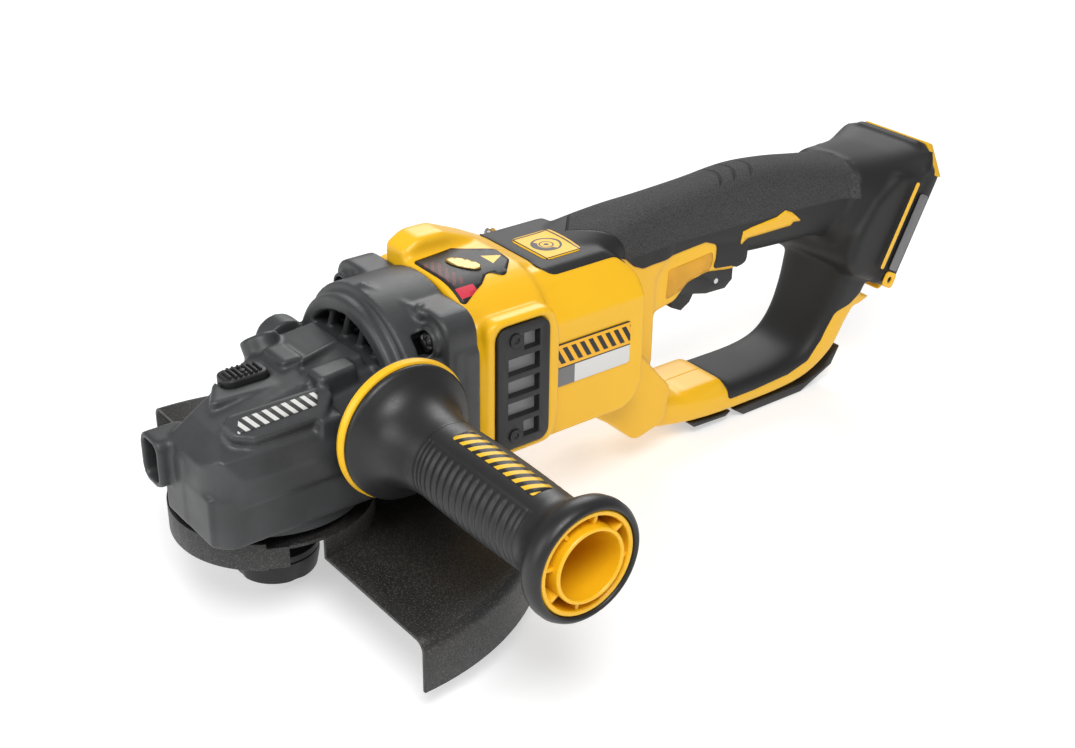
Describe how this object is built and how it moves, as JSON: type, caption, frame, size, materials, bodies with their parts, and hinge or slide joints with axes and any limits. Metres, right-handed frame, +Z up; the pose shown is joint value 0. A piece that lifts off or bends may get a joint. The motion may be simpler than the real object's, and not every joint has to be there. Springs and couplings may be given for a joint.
{
  "type": "angle grinder",
  "caption": "Two-handed cordless angle grinder with a bevel-geared head, turning wheel guard, side handle, trigger in a loop handle and a battery foot.",
  "frame": {"origin": "on the spindle axis at the disc seat of the inner flange", "axes": "+X back along the motor axis to the battery foot, +Z up along the spindle axis, side handle towards -Y"},
  "size_m": [0.477, 0.314, 0.1511],
  "materials": {
    "cast_housing": "dark grey painted die casting with a fine satin grain",
    "black_screws": "blackened socket screws",
    "bearing_steel": "ground bearing steel",
    "black_plastic": "matt black glass-filled nylon",
    "lamination_steel": "stacked electrical steel",
    "copper_windings": "lacquered copper wire",
    "circuit_board": "green circuit board",
    "yellow_plastic": "semi-gloss yellow moulded plastic",
    "soft_grip": "textured black rubber overmould",
    "filter_mesh": "grey woven dust mesh",
    "badge_face": "printed badge without lettering",
    "grey_badge": "brushed grey plate without lettering",
    "plain_steel": "machined steel",
    "spring_steel": "spring wire",
    "gear_steel": "hardened gear steel",
    "blackened_steel": "black oxide steel",
    "contact_metal": "tinned brass contacts",
    "magnet": "nickel plated magnets",
    "guard_coat": "black speckled powder coat",
    "handle_rubber": "smooth black soft rubber"
  },
  "bodies": {
    "machine": {"gear_case": "cast_housing", "bearing_retainer": "cast_housing", "retainer_screws": "black_screws", "case_screws": "black_screws", "lower_spindle_bearing": "bearing_steel", "upper_spindle_bearing": "bearing_steel", "front_motor_bearing": "bearing_steel", "rear_motor_bearing": "bearing_steel", "fan_baffle": "black_plastic", "stator_core": "lamination_steel", "stator_windings": "copper_windings", "position_board": "circuit_board", "housing_left": "yellow_plastic", "housing_right": "yellow_plastic", "housing_screws": "black_screws", "grip_overmould": "soft_grip", "loop_overmould": "soft_grip", "loop_pads": "soft_grip", "vent_cover_left": "black_plastic", "vent_cover_right": "black_plastic", "vent_meshes": "filter_mesh", "vent_screws": "black_screws", "side_badges": "badge_face", "trigger_pin": "plain_steel", "trigger_spring": "spring_steel", "switch_module": "black_plastic", "controller_module": "black_plastic", "terminal_block": "black_plastic", "contact_blades": "contact_metal", "foot_trim": "yellow_plastic", "rail_plates": "grey_badge", "rail_inlays": "yellow_plastic", "lanyard_tabs": "yellow_plastic", "side_handle_core": "yellow_plastic", "side_handle_grip": "handle_rubber", "side_handle_washer": "black_plastic", "side_handle_stud": "plain_steel", "spindle_lock_spring": "spring_steel"},
    "spindle": {"spindle": "plain_steel", "crown_gear": "gear_steel", "inner_flange": "blackened_steel", "locking_nut": "blackened_steel"},
    "rotor": {"motor_shaft": "plain_steel", "pinion": "gear_steel", "rotor_core": "lamination_steel", "rotor_magnets": "magnet", "fan": "black_plastic"},
    "guard": {"guard": "guard_coat", "guard_band": "guard_coat", "guard_clamp_screw": "black_screws"},
    "lock_button": {"spindle_lock_button": "black_plastic", "spindle_lock_pin": "plain_steel"},
    "trigger": {"trigger": "black_plastic", "lock_lever_pin": "plain_steel"},
    "lock_off_lever": {"lock_off_lever": "black_plastic"}
  },
  "joints": [
    {"name": "spindle_spin", "type": "hinge", "parent": "machine", "child": "spindle", "pos_m": [0, 0, 0], "axis": [0, 0, 1], "continuous": true},
    {"name": "motor_spin", "type": "hinge", "parent": "machine", "child": "rotor", "pos_m": [0, 0, 0.068], "axis": [1, 0, 0], "continuous": true},
    {"name": "guard_turn", "type": "hinge", "parent": "machine", "child": "guard", "pos_m": [0, 0, 0], "axis": [0, 0, 1], "range_deg": [-45, 90]},
    {"name": "lock_press", "type": "slide", "parent": "machine", "child": "lock_button", "axis": [0, 0, -1], "range_m": [0, 0.0038], "stiffness_N_per_m": 900, "springref_m": -0.003, "deforming": ["spindle_lock_spring"]},
    {"name": "trigger_pull", "type": "hinge", "parent": "machine", "child": "trigger", "pos_m": [0.23, 0, 0.095], "axis": [0, -1, 0], "range_deg": [0, 6], "stiffness_Nm_per_rad": 1.2, "springref_deg": -14.32, "deforming": ["trigger_spring"]},
    {"name": "lock_off", "type": "hinge", "parent": "trigger", "child": "lock_off_lever", "pos_m": [0.267, 0, 0.066], "axis": [0, 1, 0], "range_deg": [0, 9], "stiffness_Nm_per_rad": 0.08, "springref_deg": -17.19}
  ],
  "couplings": [
    {"joint": "motor_spin", "follows": "spindle_spin", "ratio": 3.3}
  ]
}
